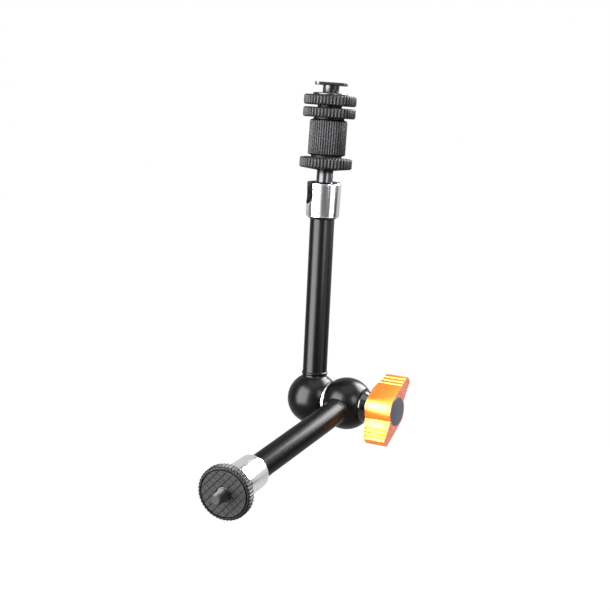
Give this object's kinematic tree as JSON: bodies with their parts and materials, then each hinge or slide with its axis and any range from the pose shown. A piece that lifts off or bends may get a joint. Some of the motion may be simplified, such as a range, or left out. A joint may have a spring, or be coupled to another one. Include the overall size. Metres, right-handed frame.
{
  "type": "articulating friction arm",
  "caption": "Two-section friction arm with ball-jointed ends, a central wing knob that locks every joint, thumb wheels and an accessory shoe adapter.",
  "frame": {"origin": "centre of the lower thumb wheel's pad face, where the 1/4 inch stud leaves it", "axes": "+Z along the upper tube, +X along the elbow's cross bolt towards the knob, -Y roughly along the lower tube"},
  "size_m": [0.0698, 0.1663, 0.2214],
  "materials": {
    "black_anodised": "black anodised, straight knurled",
    "black_tube": "black anodised, satin gloss",
    "chromed_steel": "turned and chrome plated",
    "chromed_brass": "polished chrome plate",
    "bright_steel": "turned steel",
    "orange_anodised": "orange anodised, turned and milled",
    "cap_plastic": "slate grey disc, plain",
    "black_plastic": "moulded black",
    "seat_plastic": "moulded acetal",
    "rubber": "moulded, grooved"
  },
  "bodies": {
    "base_stud": {"lower_ball_stud": "chromed_steel"},
    "lower_thumb_wheel": {"lower_wheel": "black_anodised", "lower_pad": "rubber"},
    "lower_arm": {"lower_arm_body": "black_tube", "lower_socket": "chromed_brass", "friction_washer": "bright_steel"},
    "lower_rod": {"lower_push_rod": "bright_steel", "lower_ball_seat": "seat_plastic"},
    "clamp": {"cone_bush": "bright_steel", "thrust_collar": "black_plastic"},
    "knob": {"wing_knob": "orange_anodised", "knob_cap": "cap_plastic"},
    "upper_arm": {"upper_arm_body": "black_tube", "upper_socket": "chromed_brass"},
    "bolt": {"draw_bolt": "bright_steel", "return_spring": "bright_steel"},
    "upper_rod": {"upper_push_rod": "bright_steel", "upper_ball_seat": "seat_plastic"},
    "end_stud": {"upper_ball_stud": "chromed_steel"},
    "upper_thumb_wheel": {"upper_wheel": "black_anodised", "upper_pad": "rubber"},
    "adapter": {"adapter_barrel": "black_anodised", "shoe_foot": "black_anodised"},
    "shoe_washer": {"clamp_washer": "black_anodised"},
    "shoe_lock_ring": {"lock_ring": "black_anodised"}
  },
  "joints": [
    {"name": "lower_ball_fold", "type": "hinge", "parent": "base_stud", "child": "lower_arm", "pos_m": [-0.00182, 0.01895, 0.0025], "axis": [-0.9895, 0.0151, 0.1437], "range_deg": [-6, 95]},
    {"name": "lower_wheel_turn", "type": "hinge", "parent": "base_stud", "child": "lower_thumb_wheel", "pos_m": [-0.00059, 0.00612, 0.00081], "axis": [0.0946, -0.987, -0.13], "continuous": true},
    {"name": "elbow_turn", "type": "hinge", "parent": "lower_arm", "child": "upper_arm", "pos_m": [-0.01277, 0.13813, 0.0234], "axis": [1, 0, 0], "range_deg": [-248, 88]},
    {"name": "knob_turn", "type": "hinge", "parent": "clamp", "child": "knob", "pos_m": [0.01443, 0.13813, 0.0234], "axis": [1, 0, 0], "range_deg": [0, 270]},
    {"name": "clamp_slide", "type": "slide", "parent": "lower_arm", "child": "clamp", "axis": [1, 0, 0], "range_m": [0, 0.00042]},
    {"name": "bolt_slide", "type": "slide", "parent": "upper_arm", "child": "bolt", "axis": [-1, 0, 0], "range_m": [0, 0.00042]},
    {"name": "lower_rod_slide", "type": "slide", "parent": "lower_arm", "child": "lower_rod", "axis": [0, 0.985, 0.1728], "range_m": [0, 0.00024249]},
    {"name": "upper_rod_slide", "type": "slide", "parent": "upper_arm", "child": "upper_rod", "axis": [0, 0, -1], "range_m": [0, 0.00024249]},
    {"name": "upper_ball_fold", "type": "hinge", "parent": "upper_arm", "child": "end_stud", "pos_m": [-0.02372, 0.13813, 0.1444], "axis": [0.7671, -0.641, -0.0255], "range_deg": [-3, 94.5]},
    {"name": "upper_wheel_turn", "type": "hinge", "parent": "end_stud", "child": "upper_thumb_wheel", "pos_m": [-0.02384, 0.13901, 0.15737], "axis": [-0.0096, 0.0673, 0.9977], "continuous": true},
    {"name": "adapter_turn", "type": "hinge", "parent": "end_stud", "child": "adapter", "pos_m": [-0.0239, 0.13942, 0.16356], "axis": [-0.0096, 0.0673, 0.9977], "continuous": true},
    {"name": "clamp_washer_slide", "type": "slide", "parent": "adapter", "child": "shoe_washer", "axis": [-0.0096, 0.0673, 0.9977], "range_m": [0, 0.00284]},
    {"name": "lock_ring_turn", "type": "hinge", "parent": "shoe_washer", "child": "shoe_lock_ring", "pos_m": [-0.02424, 0.14183, 0.19928], "axis": [-0.0096, 0.0673, 0.9977], "range_deg": [0, 720]}
  ],
  "couplings": [
    {"joint": "clamp_slide", "follows": "knob_turn", "m_per_rad": 0.000079577},
    {"joint": "bolt_slide", "follows": "knob_turn", "m_per_rad": 0.000079577},
    {"joint": "lower_rod_slide", "follows": "knob_turn", "m_per_rad": 0.000045944},
    {"joint": "upper_rod_slide", "follows": "knob_turn", "m_per_rad": 0.000045944},
    {"joint": "clamp_washer_slide", "follows": "lock_ring_turn", "m_per_rad": 0.00020213}
  ]
}
